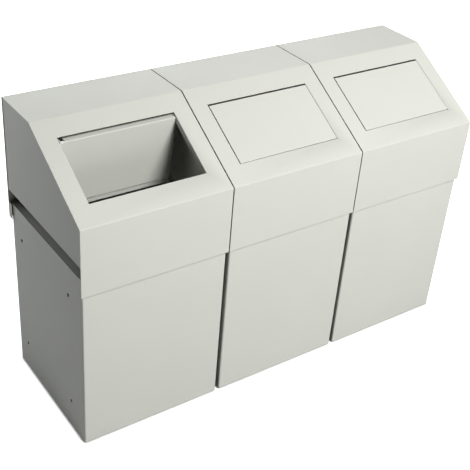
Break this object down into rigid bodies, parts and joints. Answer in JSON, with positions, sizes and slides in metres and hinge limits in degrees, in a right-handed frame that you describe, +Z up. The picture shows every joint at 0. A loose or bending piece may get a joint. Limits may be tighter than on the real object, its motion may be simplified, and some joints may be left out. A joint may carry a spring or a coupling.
{
  "type": "linked litter bin",
  "caption": "Row of linked sheet-steel litter bins with sloping lift-off hoods, inward-swinging inlet flaps and lift-out liners.",
  "frame": {"origin": "on the floor, under the middle of the row and of its depth", "axes": "+X along the row to the right, -Y out of the front, +Z up"},
  "size_m": [1.197, 0.4, 0.78],
  "materials": {
    "paint": "light grey fine-textured powder coat, satin",
    "zinc": "hot-dip galvanised sheet, spangled, dull",
    "fastener": "bright zinc plated",
    "foot": "black moulded polyethylene"
  },
  "bodies": {
    "stand": {"left_base_casing": "paint", "left_base_back": "paint", "left_back_rivets": "fastener", "left_floor_pan": "paint", "left_feet": "foot", "left_collar": "paint", "middle_base_casing": "paint", "middle_base_back": "paint", "middle_back_rivets": "fastener", "middle_floor_pan": "paint", "middle_feet": "foot", "middle_collar": "paint", "right_base_casing": "paint", "right_base_back": "paint", "right_back_rivets": "fastener", "right_floor_pan": "paint", "right_feet": "foot", "right_collar": "paint", "left_link_bolts": "fastener", "left_link_nuts": "fastener", "left_link_washers": "fastener", "left_link_spacers": "fastener", "right_link_bolts": "fastener", "right_link_nuts": "fastener", "right_link_washers": "fastener", "right_link_spacers": "fastener"},
    "left_hood": {"left_hood_cover": "paint", "left_hood_left_side": "paint", "left_hood_right_side": "paint", "left_hinge_rod": "fastener", "left_rod_clips": "fastener"},
    "left_flap": {"left_flap": "paint"},
    "left_liner": {"left_liner": "zinc"},
    "middle_hood": {"middle_hood_cover": "paint", "middle_hood_left_side": "paint", "middle_hood_right_side": "paint", "middle_hinge_rod": "fastener", "middle_rod_clips": "fastener", "middle_flap_spring": "fastener"},
    "middle_flap": {"middle_flap": "paint"},
    "middle_liner": {"middle_liner": "zinc"},
    "right_hood": {"right_hood_cover": "paint", "right_hood_left_side": "paint", "right_hood_right_side": "paint", "right_hinge_rod": "fastener", "right_rod_clips": "fastener", "right_flap_spring": "fastener"},
    "right_flap": {"right_flap": "paint"},
    "right_liner": {"right_liner": "zinc"}
  },
  "joints": [
    {"name": "left_hood_lift", "type": "slide", "parent": "stand", "child": "left_hood", "axis": [0, 0, 1], "range_m": [0, 0.62]},
    {"name": "left_flap_hinge", "type": "hinge", "parent": "left_hood", "child": "left_flap", "pos_m": [-0.4, -0.00057, 0.74075], "axis": [1, 0, 0], "range_deg": [-65, 25]},
    {"name": "left_liner_lift", "type": "slide", "parent": "stand", "child": "left_liner", "axis": [0, 0, 1], "range_m": [0, 0.54]},
    {"name": "middle_hood_lift", "type": "slide", "parent": "stand", "child": "middle_hood", "axis": [0, 0, 1], "range_m": [0, 0.62]},
    {"name": "middle_flap_hinge", "type": "hinge", "parent": "middle_hood", "child": "middle_flap", "pos_m": [0, -0.00057, 0.74075], "axis": [1, 0, 0], "range_deg": [0, 90], "stiffness_Nm_per_rad": 0.6, "springref_deg": -103.13, "deforming": ["middle_flap_spring"]},
    {"name": "middle_liner_lift", "type": "slide", "parent": "stand", "child": "middle_liner", "axis": [0, 0, 1], "range_m": [0, 0.54]},
    {"name": "right_hood_lift", "type": "slide", "parent": "stand", "child": "right_hood", "axis": [0, 0, 1], "range_m": [0, 0.62]},
    {"name": "right_flap_hinge", "type": "hinge", "parent": "right_hood", "child": "right_flap", "pos_m": [0.4, -0.00057, 0.74075], "axis": [1, 0, 0], "range_deg": [0, 90], "stiffness_Nm_per_rad": 0.6, "springref_deg": -103.13, "deforming": ["right_flap_spring"]},
    {"name": "right_liner_lift", "type": "slide", "parent": "stand", "child": "right_liner", "axis": [0, 0, 1], "range_m": [0, 0.54]}
  ],
  "couplings": [
    {"joint": "left_liner_lift", "follows": "left_hood_lift", "ratio": 0.86},
    {"joint": "middle_liner_lift", "follows": "middle_hood_lift", "ratio": 0.86},
    {"joint": "right_liner_lift", "follows": "right_hood_lift", "ratio": 0.86}
  ]
}
